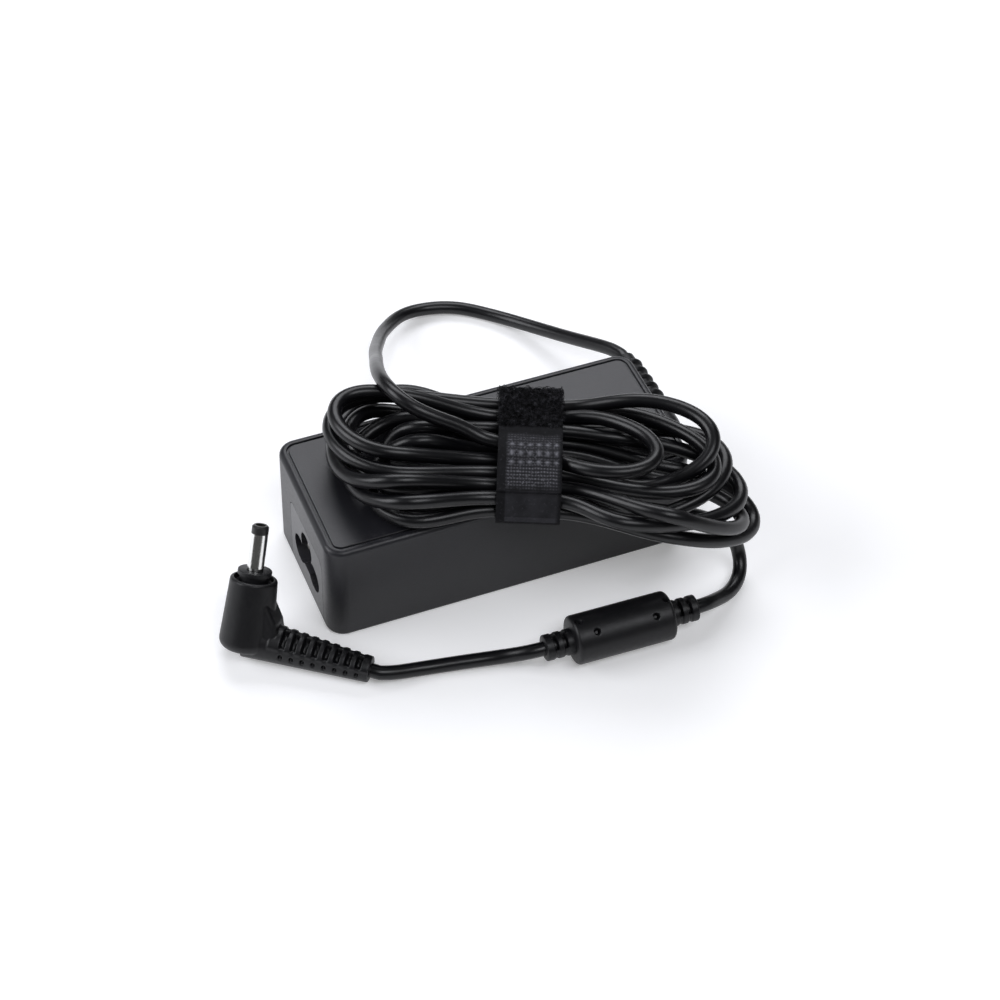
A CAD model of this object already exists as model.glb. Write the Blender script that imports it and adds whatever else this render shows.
"""Laptop power adapter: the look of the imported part.

A moulded housing with a mains inlet carries its own low voltage cord, wound into a hank on top and
held by a hook and loop strap. The cord ends in a bead and an angled barrel plug.
"""

from __future__ import annotations

import logging
import math
import random
from dataclasses import dataclass, field
from enum import Enum
from typing import Any, Callable, Iterable, Sequence

import bmesh
import bpy
from mathutils import Matrix, Vector, kdtree

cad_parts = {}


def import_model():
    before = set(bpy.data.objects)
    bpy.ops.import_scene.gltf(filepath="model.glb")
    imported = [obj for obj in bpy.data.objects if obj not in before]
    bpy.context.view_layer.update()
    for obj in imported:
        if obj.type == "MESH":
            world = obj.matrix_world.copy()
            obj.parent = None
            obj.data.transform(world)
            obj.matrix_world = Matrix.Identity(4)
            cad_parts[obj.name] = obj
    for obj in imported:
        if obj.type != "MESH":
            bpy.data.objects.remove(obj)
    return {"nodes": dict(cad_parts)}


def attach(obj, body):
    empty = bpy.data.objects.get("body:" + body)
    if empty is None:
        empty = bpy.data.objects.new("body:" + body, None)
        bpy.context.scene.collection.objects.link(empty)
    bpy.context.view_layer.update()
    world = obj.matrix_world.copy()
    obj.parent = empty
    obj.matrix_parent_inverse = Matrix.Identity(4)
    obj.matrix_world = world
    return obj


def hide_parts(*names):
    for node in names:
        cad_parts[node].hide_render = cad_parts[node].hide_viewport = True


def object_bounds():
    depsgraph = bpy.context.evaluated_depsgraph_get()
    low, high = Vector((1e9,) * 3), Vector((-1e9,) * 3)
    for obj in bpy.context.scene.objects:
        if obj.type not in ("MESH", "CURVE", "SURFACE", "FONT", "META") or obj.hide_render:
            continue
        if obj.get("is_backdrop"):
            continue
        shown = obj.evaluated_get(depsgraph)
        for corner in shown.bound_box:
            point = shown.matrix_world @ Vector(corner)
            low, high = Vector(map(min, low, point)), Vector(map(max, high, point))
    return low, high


log = logging.getLogger("adapter")
MM = 0.001
# Points closer than these, in millimetres and in metres, are one point.
SAME_MM = 1e-5
SAME_M = 1e-6
Point = tuple[float, float, float]


# ---------------------------------------------------------------- shader helpers


class Wire:
    """An output socket of a node tree; as a value, it takes part in arithmetic."""

    def __init__(self, shader: "Shader", socket: bpy.types.NodeSocket) -> None:
        """Wrap a socket.

        Args:
            shader: the shader that the socket belongs to.
            socket: the output socket to wrap.
        """
        self.shader = shader
        self.socket = socket

    def _math(self, operation: str, *values: Any) -> "Wire":
        """Add one Math node and return its value."""
        return self.shader.node("ShaderNodeMath", {"operation": operation}, dict(enumerate(values)))

    def __add__(self, other: Any) -> "Wire":
        """Sum of two values."""
        return self._math("ADD", self, other)

    __radd__ = __add__

    def __sub__(self, other: Any) -> "Wire":
        """This value less the other."""
        return self._math("SUBTRACT", self, other)

    def __rsub__(self, other: Any) -> "Wire":
        """The other less this value."""
        return self._math("SUBTRACT", other, self)

    def __mul__(self, other: Any) -> "Wire":
        """Product of two values."""
        return self._math("MULTIPLY", self, other)

    __rmul__ = __mul__

    def __pow__(self, other: Any) -> "Wire":
        """This value raised to the other."""
        return self._math("POWER", self, other)

    def __gt__(self, other: Any) -> "Wire":
        """One where this value is the greater, and nought elsewhere."""
        return self._math("GREATER_THAN", self, other)

    def __lt__(self, other: Any) -> "Wire":
        """One where this value is the lesser, and nought elsewhere."""
        return self._math("LESS_THAN", self, other)

    def sine(self) -> "Wire":
        """Sine of this value in radians."""
        return self._math("SINE", self)

    def clamped(self) -> "Wire":
        """This value kept between nought and one."""
        return self._math("MINIMUM", self._math("MAXIMUM", self, 0.0), 1.0)

    def beside(self, name: str) -> "Wire":
        """Another output of the same node."""
        return Wire(self.shader, self.socket.node.outputs[name])


class Shader:
    """A material under construction, with one Principled shader at its end."""

    def __init__(self, name: str) -> None:
        """Make the material.

        Args:
            name: the material's name.
        """
        self.material = bpy.data.materials.new(name)
        self.material.use_nodes = True
        self.tree = self.material.node_tree
        self.principled = next(n for n in self.tree.nodes if n.type == "BSDF_PRINCIPLED")

    def node(
        self,
        kind: str,
        settings: dict[str, Any] | None = None,
        inputs: dict[str | int, Any] | None = None,
        out: str | int = 0,
    ) -> Wire:
        """Add a node.

        Args:
            kind: the node's type.
            settings: its properties, set first.
            inputs: values or wires of its sockets, by name or place.
            out: the output that is read, by name or place.

        Returns:
            The output.
        """
        made = self.tree.nodes.new(kind)
        for key, value in (settings or {}).items():
            setattr(made, key, value)
        for key, value in (inputs or {}).items():
            self.feed(made.inputs[key], value)
        return Wire(self, made.outputs[out])

    def feed(self, socket: bpy.types.NodeSocket, value: Any) -> None:
        """Link a wire into a socket, or set its value.

        Args:
            socket: the socket to fill.
            value: a wire, a number, or a colour of three or four numbers.
        """
        if isinstance(value, Wire):
            self.tree.links.new(value.socket, socket)
        elif isinstance(value, (tuple, list)) and len(value) == 3 and socket.type == "RGBA":
            socket.default_value = (*value, 1.0)
        else:
            socket.default_value = value

    def surface(self, **values: Any) -> None:
        """Fill the Principled shader's sockets; underscores in names stand for spaces."""
        for key, value in values.items():
            self.feed(self.principled.inputs[key.replace("_", " ")], value)

    def place(self, scale: Sequence[float] = (1.0, 1.0, 1.0)) -> Wire:
        """Object coordinates, scaled along each axis."""
        coordinates = self.node("ShaderNodeTexCoord", out="Object")
        settings = {"vector_type": "POINT"}
        return self.node("ShaderNodeMapping", settings, {"Vector": coordinates, "Scale": tuple(scale)})

    def noise(self, vector: Wire, scale: float, detail: float = 2.0, rough: float = 0.5) -> Wire:
        """Noise value from nought to one.

        Args:
            vector: where it is read.
            scale: its fineness.
            detail: how many finer layers it has.
            rough: how strong the finer layers are.

        Returns:
            The value.
        """
        inputs = {"Vector": vector, "Scale": scale, "Detail": detail, "Roughness": rough}
        return self.node("ShaderNodeTexNoise", {"noise_dimensions": "3D"}, inputs, "Fac")

    def cells(self, vector: Wire, scale: float) -> Wire:
        """Distance to the nearest of scattered points."""
        inputs = {"Vector": vector, "Scale": scale}
        return self.node("ShaderNodeTexVoronoi", {"feature": "F1"}, inputs, "Distance")

    def mix(self, share: Wire, first: Any, second: Any) -> Wire:
        """Blend of two colours.

        Args:
            share: share of the second colour.
            first: first colour.
            second: second colour.

        Returns:
            The blended colour.
        """
        factor, colour_a, colour_b, result = 0, 6, 7, 2
        inputs = {factor: share, colour_a: first, colour_b: second}
        return self.node("ShaderNodeMix", {"data_type": "RGBA"}, inputs, result)

    def relief(self, height: Wire, depth: float) -> Wire:
        """Bumped normal from a height.

        Args:
            height: the height value.
            depth: metres that a height of one stands up.

        Returns:
            The normal.
        """
        inputs = {"Strength": 1.0, "Distance": depth, "Height": height}
        return self.node("ShaderNodeBump", {}, inputs, "Normal")


# ---------------------------------------------------------------- finishes


Colour = tuple[float, float, float]


def lighter(colour: Colour, factor: float) -> Colour:
    """A colour with every channel times factor."""
    return tuple(min(1.0, channel * factor) for channel in colour)


@dataclass(frozen=True)
class Finish:
    """What every finish has: its material's name and its main colour."""

    name: str
    colour: Colour

    def make(self) -> bpy.types.Material:
        """Build the material.

        Returns:
            The material.

        Raises:
            NotImplementedError: on the plain finish, which has no look.
        """
        raise NotImplementedError(self.name)

    def shaded(self, shader: Shader, share: Wire, shades: tuple[float, float]) -> Wire:
        """The main colour in two shades.

        Args:
            shader: the material under construction.
            share: share of the second shade.
            shades: the two shades, as factors of the main colour.

        Returns:
            The blended colour.
        """
        return shader.mix(share, lighter(self.colour, shades[0]), lighter(self.colour, shades[1]))


@dataclass(frozen=True)
class MouldedPlastic(Finish):
    """Moulded plastic with a spark-eroded grain and slight unevenness.

    depth is the grain's relief in metres; layers are its noise's detail and roughness; cloud is the
    unevenness's scale and detail; spread is how far grain and cloud change the roughness.
    """

    roughness: float = 0.45
    grain: float = 1800.0
    depth: float = 0.00002
    sheen: float = 0.5
    layers: tuple[float, float] = (3.0, 0.6)
    cloud: tuple[float, float] = (45.0, 2.0)
    shades: tuple[float, float] = (0.85, 1.18)
    spread: tuple[float, float] = (0.18, 0.06)

    def make(self) -> bpy.types.Material:
        """Build the material.

        Returns:
            The material.
        """
        shader = Shader(self.name)
        where = shader.place()
        fine = shader.noise(where, self.grain, *self.layers)
        cloud = shader.noise(where, *self.cloud)
        by_grain, by_cloud = self.spread
        shader.surface(
            Base_Color=self.shaded(shader, cloud, self.shades),
            Roughness=self.roughness + (fine - 0.5) * by_grain + (cloud - 0.5) * by_cloud,
            Specular_IOR_Level=self.sheen,
            Normal=shader.relief(fine, self.depth),
        )
        return shader.material


@dataclass(frozen=True)
class SoftMoulding(MouldedPlastic):
    """Soft PVC moulded over a cord: satin, with faint flow marks."""

    roughness: float = 0.5
    grain: float = 900.0
    depth: float = 0.00003
    sheen: float = 0.25
    layers: tuple[float, float] = (3.0, 0.65)
    cloud: tuple[float, float] = (120.0, 2.0)
    shades: tuple[float, float] = (0.8, 1.25)
    spread: tuple[float, float] = (0.2, 0.1)


@dataclass(frozen=True)
class CordJacket(MouldedPlastic):
    """Extruded PVC jacket: satin with a clear highlight."""

    roughness: float = 0.33
    grain: float = 260.0
    depth: float = 0.00005
    sheen: float = 0.38
    layers: tuple[float, float] = (3.0, 0.55)
    cloud: tuple[float, float] = (40.0, 1.0)
    shades: tuple[float, float] = (0.8, 1.2)
    spread: tuple[float, float] = (0.12, 0.0)


@dataclass(frozen=True)
class Metal(Finish):
    """Plated or bare metal with fine turning or rolling marks.

    marks stretches the marks along each axis; depth is their relief in metres.
    """

    roughness: float = 0.22
    marks: Sequence[float] = (1.0, 1.0, 12.0)
    fineness: float = 700.0
    dulling: float = 160.0
    depth: float = 0.000006

    def make(self) -> bpy.types.Material:
        """Build the material.

        Returns:
            The material.
        """
        shader = Shader(self.name)
        lines = shader.noise(shader.place(self.marks), self.fineness)
        dull = shader.noise(shader.place(), self.dulling)
        shader.surface(
            Base_Color=self.shaded(shader, dull, (0.9, 1.0)),
            Metallic=1.0,
            Roughness=self.roughness + (lines - 0.5) * 0.12 + (dull - 0.5) * 0.08,
            Normal=shader.relief(lines, self.depth),
        )
        return shader.material


@dataclass(frozen=True)
class Pile(Finish):
    """Loop pile of the strap: dull thread in lighter and darker tufts."""

    tuft: float = 1500.0
    patch: float = 800.0
    depth: float = 0.0002
    shades: tuple[float, float] = (0.25, 7.0)

    def make(self) -> bpy.types.Material:
        """Build the material.

        Returns:
            The material.
        """
        shader = Shader(self.name)
        where = shader.place()
        tuft = shader.cells(where, self.tuft)
        patch = shader.noise(where, self.patch, 3.0, 0.6)
        light = ((patch - 0.42) * 4.0).clamped() ** 1.5
        shader.surface(
            Base_Color=self.shaded(shader, light, self.shades),
            Roughness=0.75,
            Specular_IOR_Level=0.08,
            Normal=shader.relief(tuft * 0.6 + patch * 0.5, self.depth),
        )
        return shader.material


@dataclass(frozen=True)
class Webbing(Finish):
    """Woven strap: read from its own marks along and across the band, in millimetres.

    The woven face starts past a bare strip, shows rows of raised knots and then fine ribs, and has
    a plain selvedge down each side. rows are the first row's place, their pitch and where they end;
    columns are the knots' pitch and one knot's place; ribs are their pitch and where they end;
    picks is the pitch of the threads that break them; hem is where the lower layer's seam lies.
    """

    woven_from: float = 31.9
    rows: tuple[float, float, float] = (35.8, 2.1, 41.0)
    columns: tuple[float, float] = (2.08, -0.03)
    ribs: tuple[float, float] = (0.8, 47.0)
    picks: float = 0.7
    selvedge: tuple[float, float] = (-5.6, 7.1)
    hem: tuple[float, float] = (54.0, 55.6)
    fuzz: float = 1500.0
    patch: float = 300.0
    depth: float = 0.0003
    shades: tuple[float, float] = (0.6, 32.0)

    def make(self) -> bpy.types.Material:
        """Build the material.

        Returns:
            The material.
        """
        shader = Shader(self.name)
        along = shader.node("ShaderNodeAttribute", {"attribute_name": "along"}, out="Fac")
        across = shader.node("ShaderNodeAttribute", {"attribute_name": "across"}, out="Fac")
        fuzz = shader.noise(shader.place(), self.fuzz, 3.0, 0.6)
        patch = shader.noise(shader.place(), self.patch)
        wander = (patch - 0.5) * 0.5
        left, right = self.selvedge
        face = ((across - left) * 3.0).clamped() * ((right - across) * 1.2).clamped()
        start = ((along - self.woven_from) * 0.6 + wander * 1.6).clamped()
        stop = ((self.ribs[1] - along) * 0.6 + wander * 2.0).clamped()
        woven = start * stop * face
        knotted = woven * (along < self.rows[2])
        ribbed = woven - knotted
        knots = self._knots(along, across, wander) * knotted
        lines = self._wave(along + wander * 1.5, self.ribs[0], 0.0)
        breaks = self._wave(across + wander, self.picks, 0.0)
        ribs = lines**1.6 * (breaks * 0.8 + 0.2) * (patch + 0.45)
        sparks = ((fuzz - 0.58) * 6.0).clamped()
        seam = (along > self.hem[0]) * (along < self.hem[1]) * face
        lower = (along > self.ribs[1]) * (along < self.hem[1]) * face
        tone = woven * 0.035 + knots * 0.7 + ribs * ribbed * 0.34 + ribs * knotted * 0.18
        tone = tone + sparks * woven * 0.32 + sparks * 0.08 + seam * 0.06 + patch * 0.03
        tone = tone + lower * (patch * 0.08 + 0.01)
        weave = knots * 0.9 + ribs * woven * 0.5 + fuzz * 0.4
        shader.surface(
            Base_Color=self.shaded(shader, tone.clamped(), self.shades),
            Roughness=0.68 - woven * 0.15 + (fuzz - 0.5) * 0.3,
            Specular_IOR_Level=0.06,
            Normal=shader.relief(weave, self.depth),
        )
        return shader.material

    def _knots(self, along: Wire, across: Wire, wander: Wire) -> Wire:
        """Rows and columns of raised knots.

        Args:
            along: place along the band.
            across: place across it.
            wander: how far each place strays.

        Returns:
            One on a knot and nought between knots.
        """
        first, pitch, _ = self.rows
        row = self._wave(along + wander * 0.6, pitch, first) ** 2.0
        row = row * (along > first - pitch / 2) * (0.65 + wander * 1.4)
        return row * self._wave(across, *self.columns) ** 1.5

    @staticmethod
    def _wave(place: Wire, pitch: float, crest: float) -> Wire:
        """Wave between nought and one with a crest at the given place."""
        return ((place - crest) * (math.tau / pitch) + math.pi / 2).sine() * 0.5 + 0.5


@dataclass(frozen=True)
class Laminate(Finish):
    """Circuit board: solder resist over faint copper tracks."""

    track: float = 220.0
    weave: float = 900.0
    depth: float = 0.00004

    def make(self) -> bpy.types.Material:
        """Build the material.

        Returns:
            The material.
        """
        shader = Shader(self.name)
        where = shader.place()
        tracks = shader.cells(where, self.track) > 0.42
        weave = shader.noise(where, self.weave)
        shader.surface(
            Base_Color=self.shaded(shader, tracks, (1.0, 1.5)),
            Roughness=0.35 + (weave - 0.5) * 0.1,
            Normal=shader.relief(tracks * 0.4 + weave * 0.1, self.depth),
        )
        return shader.material


class Axis(Enum):
    """Axis along which the turns of a winding lie side by side."""

    ACROSS = "Y"
    UP = "Z"


@dataclass(frozen=True)
class WoundWire(Finish):
    """Enamelled wire in close turns along one axis; pitch and depth are in metres."""

    axis: Axis = Axis.ACROSS
    pitch: float = 0.0006
    drift: float = 200.0
    depth: float = 0.0002

    def make(self) -> bpy.types.Material:
        """Build the material.

        Returns:
            The material.
        """
        shader = Shader(self.name)
        place = shader.node("ShaderNodeSeparateXYZ", {}, {"Vector": shader.place()}, self.axis.value)
        turns = (place * (math.tau / self.pitch)).sine() * 0.5 + 0.5
        drift = shader.noise(shader.place(), self.drift)
        shader.surface(
            Base_Color=self.shaded(shader, turns, (0.4, 1.0)),
            Roughness=0.3 + (drift - 0.5) * 0.15,
            Normal=shader.relief(turns, self.depth),
        )
        return shader.material


# ---------------------------------------------------------------- building pieces


class Draft:
    """A bmesh on its way to becoming one finished piece."""

    def __init__(self, name: str) -> None:
        """Start an empty mesh.

        Args:
            name: the piece's name.
        """
        self.name = name
        self.bm = bmesh.new()

    def finish(
        self,
        finish: bpy.types.Material,
        slot: str,
        replaces: Sequence[str] = (),
        body: str = "root",
        crease: float = 35.0,
    ) -> bpy.types.Object:
        """Turn the mesh into a piece that rides on a body.

        Args:
            finish: its material.
            slot: the record's material slot.
            replaces: the CAD nodes that it stands for.
            body: the body that it moves with.
            crease: angle in degrees past which an edge stays sharp.

        Returns:
            The piece.
        """
        bmesh.ops.recalc_face_normals(self.bm, faces=self.bm.faces[:])
        limit = math.radians(crease)
        for face in self.bm.faces:
            face.smooth = True
        for edge in self.bm.edges:
            if len(edge.link_faces) == 2:
                edge.smooth = edge.calc_face_angle(math.pi) < limit
        mesh = bpy.data.meshes.new(self.name)
        self.bm.to_mesh(mesh)
        self.bm.free()
        mesh.materials.append(finish)
        made = bpy.data.objects.new(self.name, mesh)
        bpy.context.collection.objects.link(made)
        if replaces:
            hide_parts(*replaces)
        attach(made, body)
        log.info("%s: %d faces on %s", self.name, len(mesh.polygons), body)
        return made


def temporary(name: str, bm: bmesh.types.BMesh) -> bpy.types.Object:
    """Put a mesh into a new object for a modifier to work on.

    Args:
        name: the object's name.
        bm: the mesh; it is used up.

    Returns:
        The object.
    """
    bmesh.ops.recalc_face_normals(bm, faces=bm.faces[:])
    made = bpy.data.objects.new(name, bpy.data.meshes.new(name))
    bm.to_mesh(made.data)
    bm.free()
    bpy.context.collection.objects.link(made)
    return made


def left_by(worked: bpy.types.Object) -> bmesh.types.BMesh:
    """The mesh that an object's modifiers leave.

    Args:
        worked: the object.

    Returns:
        A new mesh.
    """
    view = bpy.context.evaluated_depsgraph_get()
    bm = bmesh.new()
    bm.from_mesh(worked.evaluated_get(view).to_mesh())
    return bm


def fused(draft: Draft, voxel: float, strength: float = 0.5, rounds: int = 3) -> None:
    """Run a draft's closed parts into one skin whose inner corners are filled.

    Args:
        draft: the piece on its way, in metres; its mesh is replaced by the skin.
        voxel: size of the grid that joins the parts.
        strength: how far each round of smoothing moves a point.
        rounds: how many rounds of smoothing there are.
    """
    rough = temporary("rough", draft.bm)
    join = rough.modifiers.new("join", "REMESH")
    join.mode, join.voxel_size = "VOXEL", voxel
    smooth = rough.modifiers.new("smooth", "SMOOTH")
    smooth.factor, smooth.iterations = strength, rounds
    draft.bm = left_by(rough)
    bpy.data.objects.remove(rough)


def carved(draft: Draft, tool: bmesh.types.BMesh) -> None:
    """Cut a closed tool out of a draft.

    Args:
        draft: the piece on its way; its mesh is replaced by what is left.
        tool: the mesh to cut away; it is used up.
    """
    stock, cutter = temporary("stock", draft.bm), temporary("tool", tool)
    cut = stock.modifiers.new("cut", "BOOLEAN")
    cut.operation, cut.solver, cut.object = "DIFFERENCE", "EXACT", cutter
    draft.bm = left_by(stock)
    for solid in (stock, cutter):
        bpy.data.objects.remove(solid)



def turned(point: Sequence[float], angle: float) -> tuple[float, float]:
    """A point of the plane turned about the origin by an angle in degrees."""
    c, s = math.cos(math.radians(angle)), math.sin(math.radians(angle))
    return point[0] * c - point[1] * s, point[0] * s + point[1] * c


def blend(a: float, b: float, t: float) -> float:
    """Value a share t of the way from a to b."""
    return a + (b - a) * t


def ease(t: float) -> float:
    """Share that starts and ends gently."""
    return t * t * (3.0 - 2.0 * t)


def catmull(points: Sequence[Vector], steps: int) -> list[Vector]:
    """Smooth line through points.

    Args:
        points: the points that it passes.
        steps: how many pieces each span has.

    Returns:
        The line's points.
    """
    line: list[Vector] = []
    last = len(points) - 1
    for i in range(last):
        a, b = points[max(i - 1, 0)], points[i]
        c, d = points[i + 1], points[min(i + 2, last)]
        for k in range(steps):
            t = k / steps
            square, cube = (2 * a - 5 * b + 4 * c - d) * t * t, (3 * b - a - 3 * c + d) * t * t * t
            line.append(0.5 * (2 * b + (c - a) * t + square + cube))
    line.append(points[last].copy())
    return line


def evenly(line: Sequence[Vector], spacing: float) -> list[Vector]:
    """The same line with its points at an even spacing.

    Args:
        line: its points.
        spacing: distance between the new points, rounded to fit.

    Returns:
        The new points.
    """
    runs = [0.0]
    for a, b in zip(line, line[1:]):
        runs.append(runs[-1] + (b - a).length)
    count = max(2, round(runs[-1] / spacing))
    made, place = [], 0
    for k in range(count + 1):
        want = runs[-1] * k / count
        while place < len(runs) - 2 and runs[place + 1] < want:
            place += 1
        span = max(runs[place + 1] - runs[place], SAME_MM)
        made.append(line[place].lerp(line[place + 1], (want - runs[place]) / span))
    return made


def relaxed(line: Sequence[Vector], rounds: int, held: int) -> list[Vector]:
    """A line whose kinks are eased out, with its ends held.

    Args:
        line: its points.
        rounds: how many times each point moves towards its neighbours' middle.
        held: how many points at each end stay.

    Returns:
        The eased line.
    """
    points = [p.copy() for p in line]
    for _ in range(rounds):
        before = [p.copy() for p in points]
        for i in range(held, len(points) - held):
            points[i] = before[i] * 0.5 + (before[i - 1] + before[i + 1]) * 0.25
    return points


def soft_step(edge: float, place: float, blur: float) -> float:
    """Share that rises from nought to one as place passes edge."""
    return ease(min(1.0, max(0.0, (place - edge) / blur + 0.5)))


def band(place: float, middle: float, width: float, blur: float) -> float:
    """One within half a width of middle and nought outside, with soft edges."""
    return 1.0 - soft_step(width / 2, abs(place - middle), blur)


def rounding(left: float, radius: float) -> float:
    """How far a rounded edge has drawn in, a given distance before its end."""
    t = min(1.0, max(0.0, 1.0 - left / radius))
    return radius * (1.0 - math.sqrt(max(0.0, 1.0 - t * t)))


def wrapped(
    bm: bmesh.types.BMesh, rows: int, sides: int, place: Callable[[float, float], Point]
) -> list[bmesh.types.BMVert]:
    """Add a closed skin: a grid wrapped into a tube whose two ends are filled.

    Args:
        bm: the mesh to add to, in millimetres.
        rows: how many steps the tube has from end to end.
        sides: how many steps it has round it.
        place: gives the point for a share of the way along and one of the way round.

    Returns:
        The skin's vertices.
    """
    made = bmesh.ops.create_grid(bm, x_segments=rows, y_segments=sides, size=0.5)["verts"]
    for vert in made:
        vert.co = place(vert.co.x + 0.5, vert.co.y + 0.5)
    bmesh.ops.remove_doubles(bm, verts=made, dist=SAME_MM)
    made = [vert for vert in made if vert.is_valid]
    rims = {edge for vert in made for edge in vert.link_edges if edge.is_boundary}
    bmesh.ops.holes_fill(bm, edges=list(rims), sides=0)
    return made


def rolled(
    bm: bmesh.types.BMesh,
    span: tuple[float, float],
    step: float,
    sides: int,
    radius: Callable[[float, float], float],
) -> list[bmesh.types.BMVert]:
    """Add a closed bar along X whose radius changes along it and round it.

    Args:
        bm: the mesh to add to.
        span: where the bar starts and ends, in millimetres.
        step: distance between its rings.
        sides: how many sides each ring has.
        radius: gives the radius for a place along the bar and an angle in degrees from Y to Z.

    Returns:
        The bar's vertices.
    """

    def place(far: float, about: float) -> Point:
        """Point of the bar at a share of its length and one of the way round."""
        along, angle = blend(span[0], span[1], far), about * 360.0 % 360.0
        return (along, *turned((radius(along, angle), 0.0), angle))

    return wrapped(bm, max(2, round((span[1] - span[0]) / step)), sides, place)


# ---------------------------------------------------------------- the housing


@dataclass
class Housing:
    """Sizes of the moulded box, in millimetres: a shell open below, with a groove round its top.

    recess is the rim's width and the depth of the seat inside it; groove is its distance from the
    outer face, width and depth; inlet is its opening's middle, half width, top and chamfer; lead_hole
    is the height and the diameter of the hole that the cord's relief goes through; lead is the
    width of the flat row beside each rounding; clear is how far a cutter reaches past the wall.
    """

    length: float = 93.0
    width: float = 40.0
    height: float = 29.0
    corner_r: float = 4.5
    top_r: float = 1.4
    base_r: float = 1.0
    wall: float = 2.2
    recess: tuple[float, float] = (1.4, 2.0)
    groove: tuple[float, float, float] = (1.8, 0.5, 0.45)
    edge_r: float = 0.12
    inlet: tuple[float, float, float, float] = (-2.5, 11.5, 20.6, 1.5)
    lead_hole: tuple[float, float] = (14.5, 9.6)
    lead: float = 0.3
    clear: float = 1.0
    corner_steps: int = 10
    base_steps: int = 6
    top_steps: int = 9

    def outline(self, inset: float) -> list[tuple[float, float]]:
        """Points of the round-cornered outline at a distance inside the outer face.

        Args:
            inset: the distance.

        Returns:
            The points, once round from the right end.
        """
        r, steps = self.corner_r - inset, self.corner_steps
        half_x, half_y = self.length / 2 - self.corner_r, self.width / 2 - self.corner_r
        points = []
        for sx, sy, start in ((1, 1, 0.0), (-1, 1, 90.0), (-1, -1, 180.0), (1, -1, 270.0)):
            bend = [turned((r, 0.0), start + 90.0 * k / steps) for k in range(steps + 1)]
            first, last = turned((r, -self.lead), start), turned((-self.lead, r), start)
            points += [(sx * half_x + x, sy * half_y + y) for x, y in (first, *bend, last)]
        return points

    def rings(self) -> list[tuple[float, float]]:
        """Inset and height of each outline, from the cavity's ceiling down, out and up to the lid.

        Returns:
            One pair for each outline.
        """
        rim, seat = self.recess
        start, wide, deep = self.groove
        end, edge, top = start + wide, self.edge_r, self.height
        rows = [(self.wall, top - self.wall), (self.wall, seat), (rim, seat), (rim, 0.0)]
        for k in range(self.base_steps + 1):
            c, s = turned((1.0, 0.0), 90.0 * k / self.base_steps)
            rows.append((self.base_r * (1.0 - s), self.base_r * (1.0 - c)))
        rows += [(0.0, self.base_r + self.lead), (0.0, top - self.top_r - self.lead)]
        for k in range(self.top_steps + 1):
            c, s = turned((1.0, 0.0), 90.0 * k / self.top_steps)
            rows.append((self.top_r * (1.0 - c), top - self.top_r * (1.0 - s)))
        rows += [(start - edge, top), (start, top - edge), (start, top - deep)]
        rows += [(end, top - deep), (end, top - edge), (end + edge, top)]
        return rows + [(end + edge + self.lead, top)]

    def build(self, plastic: bpy.types.Material) -> bpy.types.Object:
        """Make the shell, with its inlet's opening and the hole for the cord's relief.

        Args:
            plastic: its material.

        Returns:
            The shell.
        """
        draft = Draft("housing_shell")
        rings = self.rings()
        outlines = [self.outline(inset) for inset, _ in rings]
        last, sides = len(rings) - 1, len(outlines[0])

        def place(up: float, about: float) -> Point:
            """Point of the ring and the outline's point that two shares tell."""
            ring, point = round(up * last), round(about * sides) % sides
            return (*outlines[ring][point], rings[ring][1])

        wrapped(draft.bm, last, sides, place)
        carved(draft, self._openings())
        draft.bm.transform(Matrix.Scale(MM, 4))
        return draft.finish(plastic, "housing", ["upper_housing"])

    def _openings(self) -> bmesh.types.BMesh:
        """Blocks that cut the inlet's opening and the relief's hole.

        Returns:
            The closed blocks as one mesh.
        """
        bm = bmesh.new()
        middle, half, top, chamfer = self.inlet
        left = ((-half, -self.clear), (-half, top - chamfer), (-half + chamfer, top))
        section = [*left, *((-y, z) for y, z in reversed(left))]
        end, reach = self.length / 2, self.wall + 2.0 * self.clear
        face = bm.faces.new([bm.verts.new((-end - self.clear, middle + y, z)) for y, z in section])
        grown = bmesh.ops.extrude_face_region(bm, geom=[face])["geom"]
        inner = [g for g in grown if isinstance(g, bmesh.types.BMVert)]
        bmesh.ops.translate(bm, verts=inner, vec=(reach, 0.0, 0.0))
        height, across = self.lead_hole
        place = Matrix.Translation((end - self.wall / 2, 0.0, height))
        bmesh.ops.create_cone(
            bm,
            cap_ends=True,
            segments=64,
            radius1=across / 2,
            radius2=across / 2,
            depth=reach,
            matrix=place @ Matrix.Rotation(math.pi / 2, 4, "Y"),
        )
        return bm


# ---------------------------------------------------------------- the moulded pieces on the cord


# Stands up a bar that was rolled along X.
ALONG_TO_UP = Matrix.Rotation(math.radians(-90.0), 4, "Y")


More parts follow.
